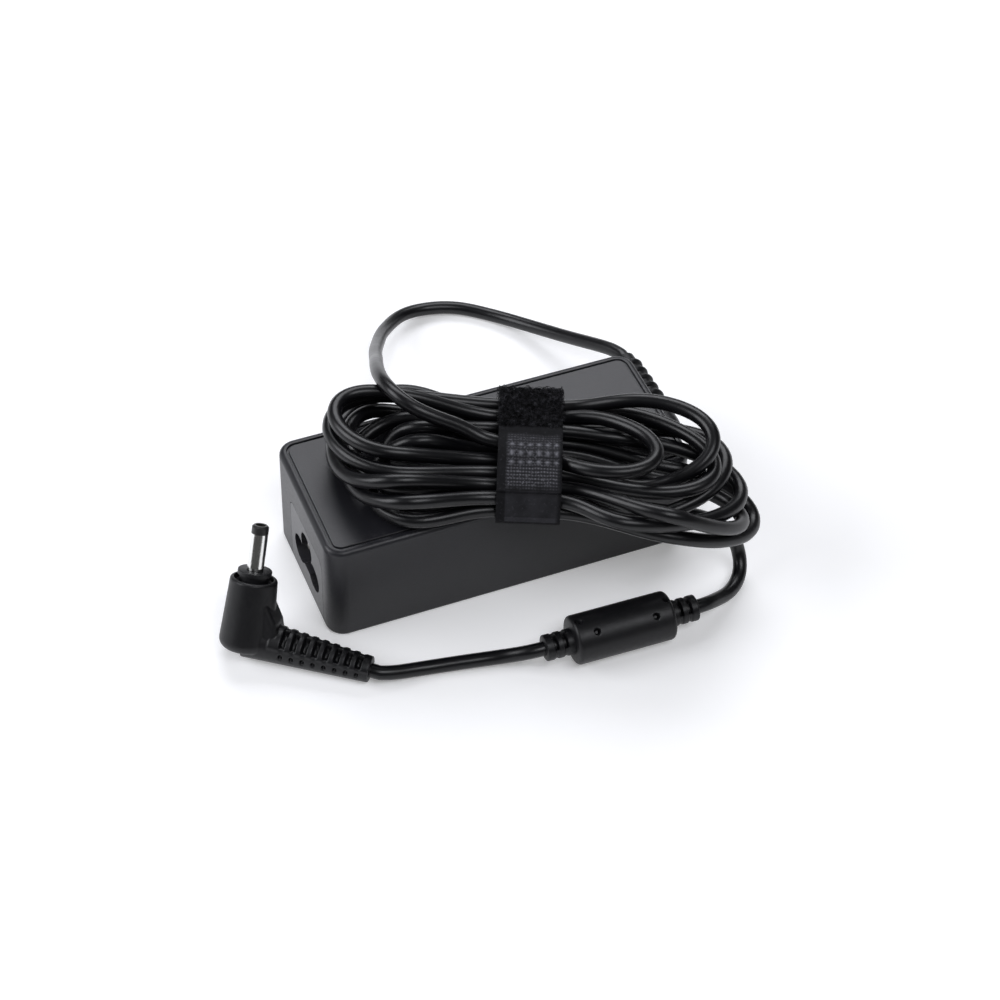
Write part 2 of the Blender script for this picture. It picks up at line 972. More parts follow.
@dataclass
class Bead:
    """Place and sizes of the ferrite bead's shell, in millimetres.

    The dimples are given by their place along the bead and their angle from the back over the top;
    dimple_edge is where their flank lies and how wide it is, as shares of their diameter. The slots
    of a collar are given by their place past the bead, the angle of their middle and half their
    arc; slot_blur is how softly they end along the collar and round it, and slot_ring is the
    shallow ring that goes on all round.
    """

    x: float = 17.2
    y: float = -45.4
    heading: float = -1.5
    diameter: float = 12.0
    length: float = 25.0
    collar_l: float = 7.0
    collar_d: float = 6.4
    collar_edge_r: float = 0.35
    edge_r: float = 1.0
    slot_w: float = 0.9
    slot_depth: float = 1.0
    slots: tuple[float, float] = (2.2, 4.6)
    slot_middle: float = 110.0
    slot_half: float = 42.0
    slot_blur: tuple[float, float] = (0.2, 6.0)
    slot_ring: float = 0.25
    dimple_d: float = 1.5
    dimple_depth: float = 1.35
    dimple_edge: tuple[float, float] = (0.45, 0.3)
    dimples: tuple[tuple[float, float], ...] = ((-11.0, 86.0), (-7.4, 122.0), (7.6, 124.0), (11.3, 90.0))
    ring_step: float = 0.16
    sides: int = 200

    def half(self) -> float:
        """Half of the length with its collars."""
        return self.length / 2 + self.collar_l

    def point(self, along: float) -> Point:
        """Point on the cord's axis, measured from the bead's middle."""
        across = turned((along, 0.0), self.heading)
        return self.x + across[0], self.y + across[1], self.diameter / 2

    def radius(self, along: float, angle: float) -> float:
        """Radius of the shell at a place along it and an angle round it.

        Args:
            along: distance from the bead's middle.
            angle: degrees from the back over the top.

        Returns:
            The radius.
        """
        left = self.length / 2 - abs(along)
        if left < 0.0:
            return self._collar_radius(-left, angle)
        r = self.diameter / 2 - rounding(left, self.edge_r)
        flank, blur = (self.dimple_d * share for share in self.dimple_edge)
        for place, middle in self.dimples:
            away = math.hypot(along - place, math.radians(angle - middle) * self.diameter / 2)
            r -= self.dimple_depth * (1.0 - soft_step(flank, away, blur))
        return r

    def _collar_radius(self, beyond: float, angle: float) -> float:
        """Radius of a slotted collar at a distance past the bead and an angle round it.

        Args:
            beyond: distance past the bead's end.
            angle: degrees from the back over the top.

        Returns:
            The radius.
        """
        r = self.collar_d / 2 - rounding(self.collar_l - beyond, self.collar_edge_r)
        turn = abs((angle - self.slot_middle + 90.0) % 180.0 - 90.0)
        for slot in self.slots:
            cut = band(beyond, slot, self.slot_w, self.slot_blur[0])
            r -= self.slot_depth * cut * (1.0 - soft_step(self.slot_half, turn, self.slot_blur[1]))
            r -= self.slot_ring * cut
        return r

    def build(self, moulding: bpy.types.Material) -> bpy.types.Object:
        """Make the moulded shell with its dimples and slotted collars.

        Args:
            moulding: its material.

        Returns:
            The shell.
        """
        draft = Draft("bead_moulding")
        rolled(draft.bm, (-self.half(), self.half()), self.ring_step, self.sides, self.radius)
        place = Matrix.Translation(Vector(self.point(0.0)) * MM)
        place @= Matrix.Rotation(math.radians(self.heading), 4, "Z") @ Matrix.Scale(MM, 4)
        draft.bm.transform(place)
        return draft.finish(moulding, "moulding", ["bead_shell"])


@dataclass
class Plug:
    """Place and sizes of the angled barrel plug, in millimetres.

    lean is how far the barrel leans from upright; angle is the one between barrel and cord, and
    relief_turn what the relief bends back from it. The relief is slotted on each upper side: slot_arc
    is where a slot starts and ends round it, in degrees from its top, and hole_turn where the small
    hole below it lies. The corner between body and relief is filled by the hull of balls of radius
    web_r, web_half to each side, at web_spots in the plane of the two axes. rings is the distance
    between the rings of the body, the relief and the collar, sides is how many sides each has, and
    voxel is the grid that joins the grip's parts.
    """

    x: float = -66.0
    y: float = -15.6
    heading: float = -36.0
    lean: float = 31.0
    angle: float = 94.5
    relief_l: float = 30.8
    grip_l: float = 18.2
    grip_drop: float = 4.0
    grip_base_d: float = 12.4
    grip_base_r: float = 3.0
    body_drop: float = 3.55
    body_base_d: float = 13.2
    body_base_r: float = 2.6
    body_top_d: float = 11.2
    body_edge_r: float = 0.6
    well_d: float = 9.4
    well_depth: float = 1.3
    lip: float = 0.02
    disc_d: float = 8.1
    disc_t: float = 1.1
    disc_edge_r: float = 0.2
    neck_d: float = 7.0
    neck_seat: float = 0.4
    collar_top: float = 16.2
    relief_turn: float = 3.6
    relief_r: tuple[float, float] = (5.0, 3.05)
    relief_edge_r: float = 0.4
    block_from: float = 6.3
    block_rise: float = 0.25
    block_arc: float = 12.0
    slot_from: float = 9.7
    slot_pitch: float = 2.63
    slot_w: float = 1.2
    slot_depth: float = 1.5
    slot_arc: tuple[float, float] = (13.0, 77.0)
    slot_blur: tuple[float, float] = (0.25, 5.0)
    slot_ring: float = 0.2
    slot_count: int = 8
    hole_turn: float = 111.0
    hole_size: tuple[float, float] = (0.95, 1.4)
    hole_depth: float = 0.9
    hole_blur: float = 0.4
    web_r: float = 1.2
    web_half: float = 2.9
    web_spots: tuple[tuple[float, float], ...] = ((0, 1), (0, 9), (3.6, 9), (6.3, 4.4), (7.2, 1))
    rings: tuple[float, float, float] = (0.25, 0.12, 0.05)
    sides: tuple[int, int, int] = (96, 120, 96)
    voxel: float = 0.00018

    def rise(self) -> float:
        """Height of the place where the barrel's axis meets the cord's."""
        c, s = math.cos(math.radians(self.lean)), math.sin(math.radians(self.lean))
        edge = self.grip_base_d / 2 - self.grip_base_r
        return (self.grip_drop - self.grip_base_r) * c + edge * s + self.grip_base_r

    def point(self, p: Sequence[float]) -> Point:
        """Point in the part's frame from one whose Z is the barrel's axis."""
        y, z = turned((p[1], p[2]), -self.lean)
        x, y = turned((p[0], y), self.heading)
        return self.x + x, self.y + y, self.rise() + z

    def cord_point(self, along: float) -> Point:
        """Point on the cord's axis, measured from the barrel's axis."""
        a = math.radians(self.angle)
        return self.point((along * math.sin(a), 0.0, along * math.cos(a)))

    def matrix(self) -> Matrix:
        """Transform from the plug's own frame, in metres, to the part's."""
        place = Matrix.Translation(Vector((self.x, self.y, self.rise())) * MM)
        heading = Matrix.Rotation(math.radians(self.heading), 4, "Z")
        return place @ heading @ Matrix.Rotation(math.radians(-self.lean), 4, "X")

    def body_radius(self, along: float, _: float) -> float:
        """Radius of the grip's body at a height on the barrel's axis.

        Args:
            along: the height, from the place where the two axes meet.
            _: the angle, which has no say.

        Returns:
            The radius.
        """
        top = self.grip_l - self.grip_drop
        share = (along + self.body_drop) / (top + self.body_drop)
        r = blend(self.body_base_d, self.body_top_d, share) / 2
        r -= rounding(along + self.body_drop, self.body_base_r)
        return r - rounding(top - along, self.body_edge_r)

    def relief_radius(self, along: float, angle: float) -> float:
        """Radius of the slotted relief at a place along it and an angle round it.

        Args:
            along: distance from the barrel's axis.
            angle: degrees round it; its top is at 90.

        Returns:
            The radius.
        """
        r = blend(*self.relief_r, along / self.relief_l)
        turn = abs(angle - 90.0) if angle < 270.0 else 450.0 - angle
        first, last = self.slot_arc
        upper = 1.0 - soft_step(last + self.block_arc, turn, self.block_arc)
        r += self.block_rise * upper * soft_step(self.block_from, along, self.relief_edge_r)
        arc = band(turn, (first + last) / 2, last - first, self.slot_blur[1])
        for k in range(self.slot_count):
            place = self.slot_from + k * self.slot_pitch
            cut = band(along, place, self.slot_w, self.slot_blur[0])
            r -= (self.slot_depth * arc + self.slot_ring * upper) * cut
            away = math.radians(turn - self.hole_turn) * r
            hole = math.hypot((along - place) / self.hole_size[0], away / self.hole_size[1]) * 2.0
            r -= self.hole_depth * (1.0 - soft_step(1.0, hole, self.hole_blur))
        return r - rounding(self.relief_l - along, self.relief_edge_r)

    def relief_matrix(self) -> Matrix:
        """Place of the relief in the plug's own frame: X along the cord, its end where that is.

        Returns:
            The transform from a relief that lies along X.
        """
        a = math.radians(self.angle)
        end = Vector((math.sin(a), 0.0, math.cos(a))) * self.relief_l
        turn = Matrix.Rotation(math.radians(self.relief_turn), 4, "Y")
        return Matrix.Translation(end) @ turn @ Matrix.Translation((-self.relief_l, 0.0, 0.0))

    def build_grip(self, moulding: bpy.types.Material) -> bpy.types.Object:
        """Make the moulded grip: body, corner web and slotted relief, run into one skin.

        Args:
            moulding: its material.

        Returns:
            The grip.
        """
        draft = Draft("plug_moulding")
        bm = draft.bm
        top = self.grip_l - self.grip_drop
        body = rolled(bm, (-self.body_drop, top), self.rings[0], self.sides[0], self.body_radius)
        bmesh.ops.transform(bm, matrix=ALONG_TO_UP, verts=body)
        lid = max(bm.faces, key=lambda face: face.calc_center_median().z)
        bmesh.ops.inset_region(bm, faces=[lid], thickness=self.lip)
        for vert in lid.verts:
            flat = Vector((vert.co.x, vert.co.y)).normalized() * (self.well_d / 2)
            vert.co = (flat.x, flat.y, top)
        sunk = bmesh.ops.extrude_face_region(bm, geom=[lid])["geom"]
        bmesh.ops.delete(bm, geom=[lid], context="FACES_ONLY")
        floor = [g for g in sunk if isinstance(g, bmesh.types.BMVert)]
        bmesh.ops.translate(bm, verts=floor, vec=(0.0, 0.0, -self.well_depth))
        relief = rolled(bm, (0.0, self.relief_l), self.rings[1], self.sides[1], self.relief_radius)
        bmesh.ops.transform(bm, matrix=self.relief_matrix(), verts=relief)
        self._add_web(bm)
        bm.transform(self.matrix() @ Matrix.Scale(MM, 4))
        fused(draft, self.voxel)
        return draft.finish(moulding, "moulding", ["plug_grip"], crease=180.0)

    def _add_web(self, bm: bmesh.types.BMesh) -> None:
        """Add the block that fills the corner between the body and the relief.

        Args:
            bm: the grip's mesh.
        """
        web = bmesh.new()
        for x, z in self.web_spots:
            for side in (-self.web_half, self.web_half):
                bmesh.ops.create_uvsphere(
                    web,
                    u_segments=16,
                    v_segments=8,
                    radius=self.web_r,
                    matrix=Matrix.Translation((x, side, z)),
                )
        hull = bmesh.ops.convex_hull(web, input=web.verts[:])
        inside = (*hull["geom_interior"], *hull["geom_unused"])
        spare = {g for g in inside if isinstance(g, bmesh.types.BMVert)}
        bmesh.ops.delete(web, geom=list(spare), context="VERTS")
        mesh = bpy.data.meshes.new("web")
        web.to_mesh(mesh)
        web.free()
        bm.from_mesh(mesh)
        bpy.data.meshes.remove(mesh)

    def build_collar(self, moulding: bpy.types.Material) -> bpy.types.Object:
        """Make the collar: a disc on a neck that stands in the grip's well.

        Args:
            moulding: its material.

        Returns:
            The collar.
        """
        draft = Draft("plug_collar_disc")
        start = self.grip_l - self.grip_drop - self.well_depth - self.neck_seat

        def radius(along: float, _: float) -> float:
            """Radius of the collar at a height."""
            if along < self.collar_top - self.disc_t:
                return self.neck_d / 2
            return self.disc_d / 2 - rounding(self.collar_top - along, self.disc_edge_r)

        rolled(draft.bm, (start, self.collar_top), self.rings[2], self.sides[2], radius)
        draft.bm.transform(self.matrix() @ Matrix.Scale(MM, 4) @ ALONG_TO_UP)
        return draft.finish(moulding, "moulding", ["plug_collar"])


# ---------------------------------------------------------------- the cord


LobeRow = tuple[float, float, float, float, float, float, float, float]


@dataclass
class Hank:
    """The cord's seven turns on top of the housing, in their own turned frame.

    One row per lobe: reach, back and front places, heights of back, tip and front above the
    housing, backward lean of the tip, and how much longer than round its bend is. Inside the strap
    each run has a slot of its own, told by its column and layer from waist_back or waist_front,
    which are a place and a height. The first and the last front run lie on top, at top_in and
    top_out.
    """

    x: float = 9.5
    y: float = -5.0
    turn: float = -23.5
    cord_d: float = 3.5
    step: float = 4.0
    slot_u: float = 8.0
    waist_back: tuple[float, float] = (9.0, 32.2)
    waist_front: tuple[float, float] = (-9.5, 32.2)
    top_in: tuple[float, float] = (-6.8, 40.2)
    top_out: tuple[float, float] = (-13.3, 40.2)
    back_slots: tuple[tuple[int, int], ...] = ((1, 1), (0, 1), (0, 0), (3, 0), (2, 0), (2, 1), (1, 0))
    front_slots: tuple[tuple[int, int], ...] = ((0, 1), (1, 1), (2, 1), (3, 0), (3, 1), (2, 0), (1, 0))
    right: tuple[LobeRow, ...] = (
        (30.5, 4.5, -17.5, 9.5, 13.5, 13.5, -5, 1.6),
        (44, 6.5, -12.5, 13.5, 13, 2.5, -3, 1.8),
        (44.5, 10, -17, 6, 7.5, 7, -6, 1.7),
        (52, -9.5, -30, 2.5, -4.5, 12.5, 5, 1.8),
        (55.5, -5, -26, 2, -10, 0.5, 6, 1.8),
        (51.5, -0.5, -30, 7, -0.5, 9, 6, 2),
        (47.5, 7.5, -19.5, 2, 4.5, -1, 1.5, 1.6),
    )
    left: tuple[LobeRow, ...] = (
        (47, 4, -16, 15, 15, 15, 3.5, 1.3),
        (48, 8, -19.5, 10, 11, 12, 2.5, 1.2),
        (47, 14, -24.5, 6.5, 5, 15, 1, 0.8),
        (38, -10.5, -27.5, 14.5, 3.5, 4, 4, 1.3),
        (43, 3.5, -28.5, 8, 3.5, 12, 3, 0.9),
        (35, -3.5, -22.5, 11.5, 3.5, 2, 6, 0.8),
        (43.5, 8.5, -19.5, 4, 8, 6.5, 2, 0.8),
    )
    run_steps: int = 8
    bend_steps: int = 16

    def point(self, u: float, v: float, z: float) -> Point:
        """Point in the part's frame from one in the hank's."""
        across = turned((u, v), self.turn)
        return self.x + across[0], self.y + across[1], z

    def back(self, index: int) -> tuple[float, float]:
        """Place and height of a run behind the strap's middle."""
        column, layer = self.back_slots[index]
        return self.waist_back[0] - column * self.step, self.waist_back[1] + layer * self.step

    def front(self, index: int) -> tuple[float, float]:
        """Place and height of a run in front of the strap's middle; the first is on top.

        Args:
            index: number of the run, from the upper end.

        Returns:
            The place and the height.
        """
        if index == 0:
            return self.top_out
        column, layer = self.front_slots[index - 1]
        return self.waist_front[0] - column * self.step, self.waist_front[1] + layer * self.step

    def lobe(
        self,
        side: int,
        row: LobeRow,
        enter: tuple[float, float],
        leave: tuple[float, float],
        height: float,
    ) -> list[Point]:
        """Points of one lobe, from slot to slot.

        Args:
            side: 1 to the right and -1 to the left.
            row: the lobe's sizes.
            enter: place and height of the slot that it leaves.
            leave: place and height of the slot that it comes back to.
            height: height of the housing's top.

        Returns:
            Its points in the hank's frame.
        """
        reach, back_v, front_v, back_z, tip_z, front_z, lean, longer = row
        half, middle = (back_v - front_v) / 2, (back_v + front_v) / 2
        bend_u = reach - longer * half
        ends = [(front_v, height + front_z), (back_v, height + back_z)]
        first, second = ends if side > 0 else ends[::-1]
        rise = height + tip_z - (first[1] + second[1]) / 2
        out = self._run((side * self.slot_u, *enter), (side * bend_u, *first))
        bend = []
        for k in range(self.bend_steps + 1):
            t = k / self.bend_steps
            c, s = math.cos(math.pi * (t - 0.5)), math.sin(math.pi * (t - 0.5))
            u, v = side * (bend_u + longer * half * c), middle + side * half * s + lean * c
            bend.append((u, v, blend(first[1], second[1], t) + rise * c))
        home = self._run((side * bend_u, *second), (side * self.slot_u, *leave))
        return [*out[:-1], *bend, *home[1:]]

    def _run(self, start: Point, end: Point) -> list[Point]:
        """Points of a run that leaves and arrives straight along the hank.

        Args:
            start: where it starts, in the hank's frame.
            end: where it ends.

        Returns:
            Its points.
        """
        points = []
        for k in range(self.run_steps + 1):
            t = k / self.run_steps
            v, z = (blend(a, b, ease(t)) for a, b in zip(start[1:], end[1:]))
            points.append((blend(start[0], end[0], t), v, z))
        return points

    def route(self, height: float) -> list[Point]:
        """Every point of the hank, from its upper end to its lower one.

        Args:
            height: height of the housing's top.

        Returns:
            The points, in the part's frame.
        """
        u, d = self.slot_u, self.cord_d
        points: list[Point] = [(-u - d, *self.top_in)]
        points += self._run((-u, *self.top_in), (u, *self.top_out))[:-1]
        for i, (right, left) in enumerate(zip(self.right, self.left)):
            points += self.lobe(1, right, self.front(i), self.back(i), height)
            points += self.lobe(-1, left, self.back(i), self.front(i + 1), height)
        end = self.front(len(self.right))
        points += [(u, *end), (u + d, *end)]
        return [self.point(*p) for p in points]


@dataclass
class Cord:
    """The low voltage cord, from the housing's strain relief to the plug, in millimetres.

    spacing is the distance between the centreline's points and joint_gap the least one where two
    stretches meet; hank_rounds and line_rounds are how often the hank and then the whole line are
    eased, and held is how many points at each end stay.
    """

    housing: Housing
    hank: Hank
    bead: Bead
    plug: Plug
    diameter: float = 3.5
    exit: Point = (51.7, 30.5, 14.5)
    spacing: float = 1.1
    joint_gap: float = 0.4
    hank_rounds: int = 12
    line_rounds: int = 10
    held: int = 3

    def free(self, points: Sequence[Point]) -> list[Vector]:
        """A free stretch, whose first and last diameter are straight."""
        chosen = [Vector(p) for p in points]
        return [chosen[0], *catmull(chosen[1:-1], 10), chosen[-1]]

    def arch(self) -> list[Vector]:
        """From the strain relief behind the housing up to the hank.

        Returns:
            The stretch's points.
        """
        top, hank, u = self.housing.height, self.hank, self.hank.slot_u
        v, z = hank.top_in
        x, y, low = self.exit
        return self.free(
            [
                self.exit,
                (x, y + self.diameter, low),
                (x - 2.5, y + 9, low - 2),
                (44.5, 50, 8),
                (39, 61, 4),
                (32, 70.5, 2),
                (22, 78, 2),
                (9.5, 79, 3),
                (0, 70.5, 7),
                (-6, 59, 14),
                (-10.5, 48, 22),
                (-14, 37.5, top + 1),
                (-17.5, 27.5, top + 9.5),
                (-20.5, 17, top + 16.5),
                (-21, 8, top + 20),
                (-17, 1, top + 18.5),
                hank.point(-u - 2 * self.diameter, v + 1.3, z + 2.3),
                hank.point(-u - self.diameter, v, z),
            ]
        )

    def tail(self) -> list[Vector]:
        """From the hank down to the bead.

        Returns:
            The stretch's points.
        """
        top, hank, u, d = self.housing.height, self.hank, self.hank.slot_u, self.diameter
        v, z = hank.front(len(hank.right))
        return self.free(
            [
                hank.point(u + d, v, z),
                hank.point(u + 2 * d, v - 0.5, z - 1),
                hank.point(22, -14, top - 1.5),
                hank.point(32, -12, top - 5.5),
                hank.point(42, -9, 19),
                hank.point(49, -7.5, 13),
                (54.5, -32.5, 6.5),
                (53.5, -37, 2.5),
                (48.5, -41.5, 2),
                (42, -44.5, 4.5),
                self.bead.point(self.bead.half() + d),
                self.bead.point(self.bead.half()),
            ]
        )

    def lead(self) -> list[Vector]:
        """From the bead to the plug.

        Returns:
            The stretch's points.
        """
        d, half = self.diameter, self.bead.half()
        return self.free(
            [
                self.bead.point(-half),
                self.bead.point(-half - d),
                (-11, -41.5, 3),
                (-21, -39, 2.2),
                (-31, -37, 1.8),
                self.plug.cord_point(self.plug.relief_l + d),
                self.plug.cord_point(self.plug.relief_l),
            ]
        )

    def line(self) -> list[Vector]:
        """The whole centreline, evenly spaced.

        Returns:
            Its points, from the strain relief to the plug.
        """
        hank = [Vector(p) for p in self.hank.route(self.housing.height)]
        stretches = [
            evenly(self.arch(), self.spacing),
            relaxed(evenly(hank, self.spacing), self.hank_rounds, self.held),
            evenly(self.tail(), self.spacing),
            evenly(self.lead(), self.spacing),
        ]
        points = list(stretches[0])
        for stretch in stretches[1:]:
            end = points[-1]
            points += [p for p in stretch if (p - end).length > self.joint_gap]
        return relaxed(evenly(points, self.spacing), self.line_rounds, self.held)

    def build(self, jacket: bpy.types.Material, on_it: Sequence[Any]) -> bpy.types.Object:
        """Args:
            jacket: its material.
            on_it: the pieces on the cord.

        Returns:
            The cord.
        """
        points = [p * MM for p in self.line()]
        curve = bpy.data.curves.new("low_voltage_cord", "CURVE")
        curve.dimensions = "3D"
        curve.bevel_depth = self.diameter / 2 * MM
        curve.bevel_resolution = 4
        curve.use_fill_caps = True
        spline = curve.splines.new("POLY")
        spline.points.add(len(points) - 1)
        for knot, point in zip(spline.points, points):
            knot.co = (*point, 1.0)
        spline.use_smooth = True
        curve.materials.append(jacket)
        made = bpy.data.objects.new("low_voltage_cord", curve)
        bpy.context.collection.objects.link(made)
        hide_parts("cord_arch", "cord_hank", "cord_tail", "cord_lead")
        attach(made, "root")
        length = sum((b - a).length for a, b in zip(points, points[1:]))
        tuple(c * MM for c in self.exit)
        log.info("low_voltage_cord: %.3f m long, %d points", length, len(points))
        return made


# ---------------------------------------------------------------- the strap


@dataclass
class PileLoop:
    """One loop of the pile and how the loops differ, as shares of their size or in millimetres.

    thread is the thread's radius and turns how far round it goes; size is the loops' least and
    greatest; big is the share of loops that are bigger and by how much; stretch is their height;
    lean is how far they lean; spill is how far they pass the pile's start, end and edges; sunk is
    how deep their feet are in the band.
    """

    count: int = 3600
    seed: int = 11
    thread: float = 0.07
    turns: float = 0.55
    steps: int = 6
    size: tuple[float, float] = (0.3, 0.6)
    big: tuple[float, float] = (0.12, 1.7)
    stretch: tuple[float, float] = (0.9, 1.6)
    lean: float = 0.5
    spill: tuple[float, float, float] = (-0.4, 0.3, 0.1)
    sunk: float = 0.1

    def mesh(self) -> bpy.types.Mesh:
        """A loop of radius one that stands on its ends.

        Returns:
            Its mesh.
        """
        bm = bmesh.new()
        ring = bmesh.ops.create_circle(bm, cap_ends=False, segments=3, radius=self.thread)["verts"]
        bmesh.ops.translate(bm, verts=ring, vec=(1.0, 0.0, 0.0))
        bmesh.ops.spin(
            bm,
            geom=bm.verts[:] + bm.edges[:],
            cent=(0.0, 0.0, 0.0),
            axis=(0.0, 1.0, 0.0),
            angle=-math.tau * self.turns,
            steps=self.steps,
            use_merge=False,
        )
        made = bpy.data.meshes.new("pile_loop")
        bm.to_mesh(made)
        bm.free()
        return made


@dataclass
class Strap:
    """Hook and loop strap round the hank's waist, in millimetres.

    A place on the band is told by how far round it lies: from under the bundle up its back, over
    the top and down its front. The pile, a bare strip and the woven layer stand up from it by their
    rises. The loose end starts past the bundle's corner of number tab_corner; step_rows is how
    close before and after that place the two rows lie that make the step there sharp. grid is the
    size of a strap's squares, turn_step how far it turns between two of its outline's points, seam
    how near to the band's start or end a face of its seam lies, and edge_near the same for a side.
    """

    hank: Hank
    width: float = 15.0
    thickness: float = 1.3
    gap: float = 0.15
    turn_step: float = 0.12
    grid: float = 0.4
    marks: int = 2400
    pile_from: float = 3.5
    pile_to: float = 28.6
    pile_rise: float = 0.8
    bare_to: float = 31.9
    bare_rise: float = 0.5
    woven_rise: float = 1.3
    tab_corner: int = 3
    tab_l: float = 8.8
    tab_t: float = 1.1
    tab_gap: float = 0.2
    step_rows: tuple[float, float] = (0.01, 0.02)
    seam: float = 1e-4
    edge_r: float = 0.3
    edge_near: float = 0.05
    pile: PileLoop = field(default_factory=PileLoop)
    outline: list[tuple[Vector, Vector, float]] = field(default_factory=list)
    tab_from: float = 0.0

    def __post_init__(self) -> None:
        """Work out the outline of the bundle that the strap goes round."""
        hank = self.hank
        back, low = hank.waist_back
        front, high = hank.front(5)
        corners = ((back, low), (back, high), hank.top_in, hank.top_out, (front, high), (front, low))
        centres = [Vector(corner) for corner in corners]
        radius = hank.cord_d / 2 + self.gap + self.thickness
        places: list[tuple[Vector, Vector]] = []
        for i, here in enumerate(centres):
            first = self._outward(centres[i - 1], here)
            second = self._outward(here, centres[(i + 1) % len(centres)])
            steps = max(2, round(first.angle(second) / self.turn_step))
            for k in range(steps + 1):
                normal = first.lerp(second, k / steps).normalized()
                places.append((here + normal * radius, normal))
            if i == self.tab_corner:
                tab_place = len(places) - 1
        places.append(places[0])
        run, last = 0.0, places[0][0]
        for place, normal in places:
            run += (place - last).length
            self.outline.append((place, normal, run))
            last = place
        self.tab_from = self.outline[tab_place][2]

    @staticmethod
    def _outward(a: Vector, b: Vector) -> Vector:
        """Normal of the outline's straight run from a to b."""
        way = (b - a).normalized()
        return Vector((way.y, -way.x))

    def girth(self) -> float:
        """Distance once round the band."""
        return self.outline[-1][2]

    def at(self, along: float) -> tuple[Vector, Vector]:
        """Place and normal on the band's plain outer face.

        Args:
            along: distance round the band.

        Returns:
            The place and the normal, in the plane across the hank.
        """
        for (a, na, sa), (b, nb, sb) in zip(self.outline, self.outline[1:]):
            if sb >= along and sb > sa:
                t = (along - sa) / (sb - sa)
                return a.lerp(b, t), na.lerp(nb, t).normalized()
        return self.outline[-1][0], self.outline[-1][1]

    def rise(self, along: float) -> float:
        """How far the band's upper layers stand proud at a distance round it.

        Args:
            along: the distance.

        Returns:
            The rise in millimetres.
        """
        if self.pile_from < along < self.pile_to:
            shoulder = min(along - self.pile_from, self.pile_to - along, 1.0)
            return self.pile_rise * math.sqrt(shoulder * (2.0 - shoulder))
        if self.pile_to <= along < self.bare_to:
            return self.bare_rise
        if self.bare_to <= along < self.tab_from:
            return self.woven_rise
        return 0.0

    def space(self, across: float, place: Vector) -> Vector:
        """Point of the part, in metres, from one across the strap and one in its outline."""
        return Vector(self.hank.point(across, place.x, place.y)) * MM

    def _sheet(self, bm: bmesh.types.BMesh, start: float, end: float) -> Any:
        """Add a flat grid whose X runs along the strap and whose Y runs across it.

        Args:
            bm: the mesh to add to.
            start: where it starts round the band.
            end: where it ends.

        Returns:
            The layer that marks each vertex's distance round the band.
        """
        mark = bm.verts.layers.float.new("along")
        rows = round((end - start) / self.grid)
        columns = round(self.width / (2 * self.grid))
        bmesh.ops.create_grid(bm, x_segments=rows, y_segments=columns, size=0.5)
        for vert in bm.verts:
            vert[mark] = blend(start, end, vert.co.x + 0.5)
            vert.co.y *= self.width
        return mark

    def _tag(self, bm: bmesh.types.BMesh) -> None:
        """Mark every vertex with its distance round the band and across it, in millimetres.

        Args:
            bm: a strap's mesh in its place, in metres.
        """
        along = bm.verts.layers.float.get("along")
        across = bm.verts.layers.float.new("across")
        marks = [self.girth() * k / self.marks for k in range(self.marks)]
        tree = kdtree.KDTree(self.marks)
        for k, run in enumerate(marks):
            tree.insert((*self.at(run)[0], 0.0), k)
        tree.balance()
        middle = Vector((self.hank.x, self.hank.y))
        for vert in bm.verts:
            flat = Vector((vert.co.x, vert.co.y)) / MM - middle
            u, v = turned(flat, -self.hank.turn)
            vert[along] = marks[tree.find((v, vert.co.z / MM, 0.0))[1]]
            vert[across] = u

    def build_band(self, webbing: bpy.types.Material) -> bpy.types.Object:
        """Make the closed band with its raised layers.

        Args:
            webbing: its material.

        Returns:
            The band.
        """
        draft = Draft("strap_band_woven")
        bm = draft.bm
        mark = self._sheet(bm, 0.0, self.girth())
        before, after = self.step_rows
        for vert in bm.verts:
            away = vert[mark] - self.tab_from
            if -self.grid - before < away <= 0.0:
                vert[mark] = self.tab_from - before
            elif 0.0 < away < self.grid:
                vert[mark] = self.tab_from + after
        inner = list(bm.verts)
        grown = bmesh.ops.extrude_face_region(bm, geom=bm.faces[:])["geom"]
        for vert in inner:
            place, normal = self.at(vert[mark])
            vert.co = self.space(vert.co.y, place - normal * self.thickness)
        for vert in (g for g in grown if isinstance(g, bmesh.types.BMVert)):
            place, normal = self.at(vert[mark])
            vert.co = self.space(vert.co.y, place + normal * self.rise(vert[mark]))
        spans = [(face, [vert[mark] for vert in face.verts]) for face in bm.faces]
        last = self.girth() - self.seam
        ends = [face for face, span in spans if max(span) < self.seam or min(span) > last]
        bmesh.ops.delete(bm, geom=ends, context="FACES")
        bmesh.ops.remove_doubles(bm, verts=bm.verts[:], dist=SAME_M)
        self._round_edges(bm)
        self._tag(bm)
        return draft.finish(webbing, "strap_fabric", ["strap_band"])

    def _round_edges(self, bm: bmesh.types.BMesh) -> None:
        """Round the two long edges of a strap's mesh.

        Args:
            bm: the mesh in its place, in metres.
        """
        half = self.width / 2 - self.edge_near
        sharp = math.radians(60.0)
        middle = Vector((self.hank.x, self.hank.y))
        edges = []
        for edge in bm.edges:
            if len(edge.link_faces) != 2 or edge.calc_face_angle(0.0) < sharp:
                continue
            spots = [turned(Vector(v.co.xy) / MM - middle, -self.hank.turn)[0] for v in edge.verts]
            if all(abs(u) > half for u in spots) and spots[0] * spots[1] > 0:
                edges.append(edge)
        bmesh.ops.bevel(
            bm,
            geom=edges,
            offset=self.edge_r * MM,
            segments=2,
            profile=0.5,
            affect="EDGES",
            material=-1,
            clamp_overlap=True,
        )

